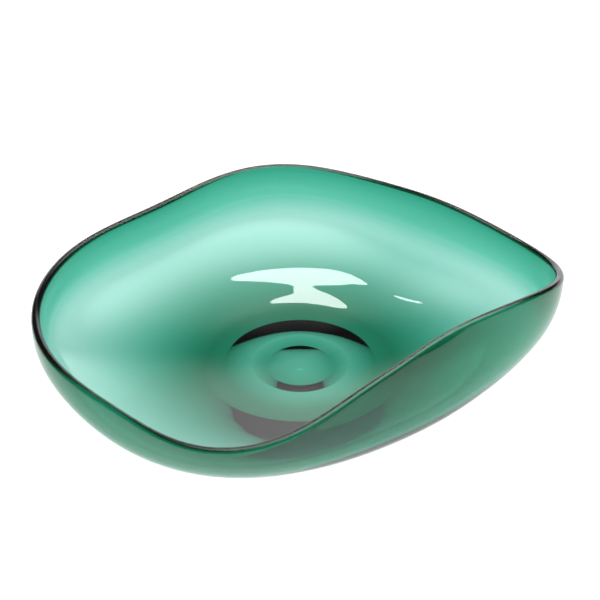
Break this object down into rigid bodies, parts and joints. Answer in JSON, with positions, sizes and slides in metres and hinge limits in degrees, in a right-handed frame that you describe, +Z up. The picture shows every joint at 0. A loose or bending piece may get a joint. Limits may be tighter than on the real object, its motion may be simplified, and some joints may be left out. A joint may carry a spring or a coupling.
{
  "type": "art glass bowl",
  "caption": "Shallow free-form bowl of transparent green blown glass, with a rounded square rim, one side folded up and in, and a polished pontil under the base.",
  "frame": {"origin": "centre of the ring that the bowl stands on, at table level", "axes": "+Z up; +X along the widest span of the rim; the folded-up side faces the quarter between +X and -Y"},
  "size_m": [0.4168, 0.3889, 0.1136],
  "materials": {
    "wall_glass": "fire-polished transparent green",
    "lip_glass": "fire-polished transparent green, darker where it is seen edge on",
    "base_glass": "fire-polished transparent green, ground ring underneath",
    "pontil_glass": "ground and polished"
  },
  "bodies": {
    "root": {"bowl_wall": "wall_glass", "rim_lip": "lip_glass", "base_pad": "base_glass", "pontil_seal": "pontil_glass"}
  },
  "joints": []
}
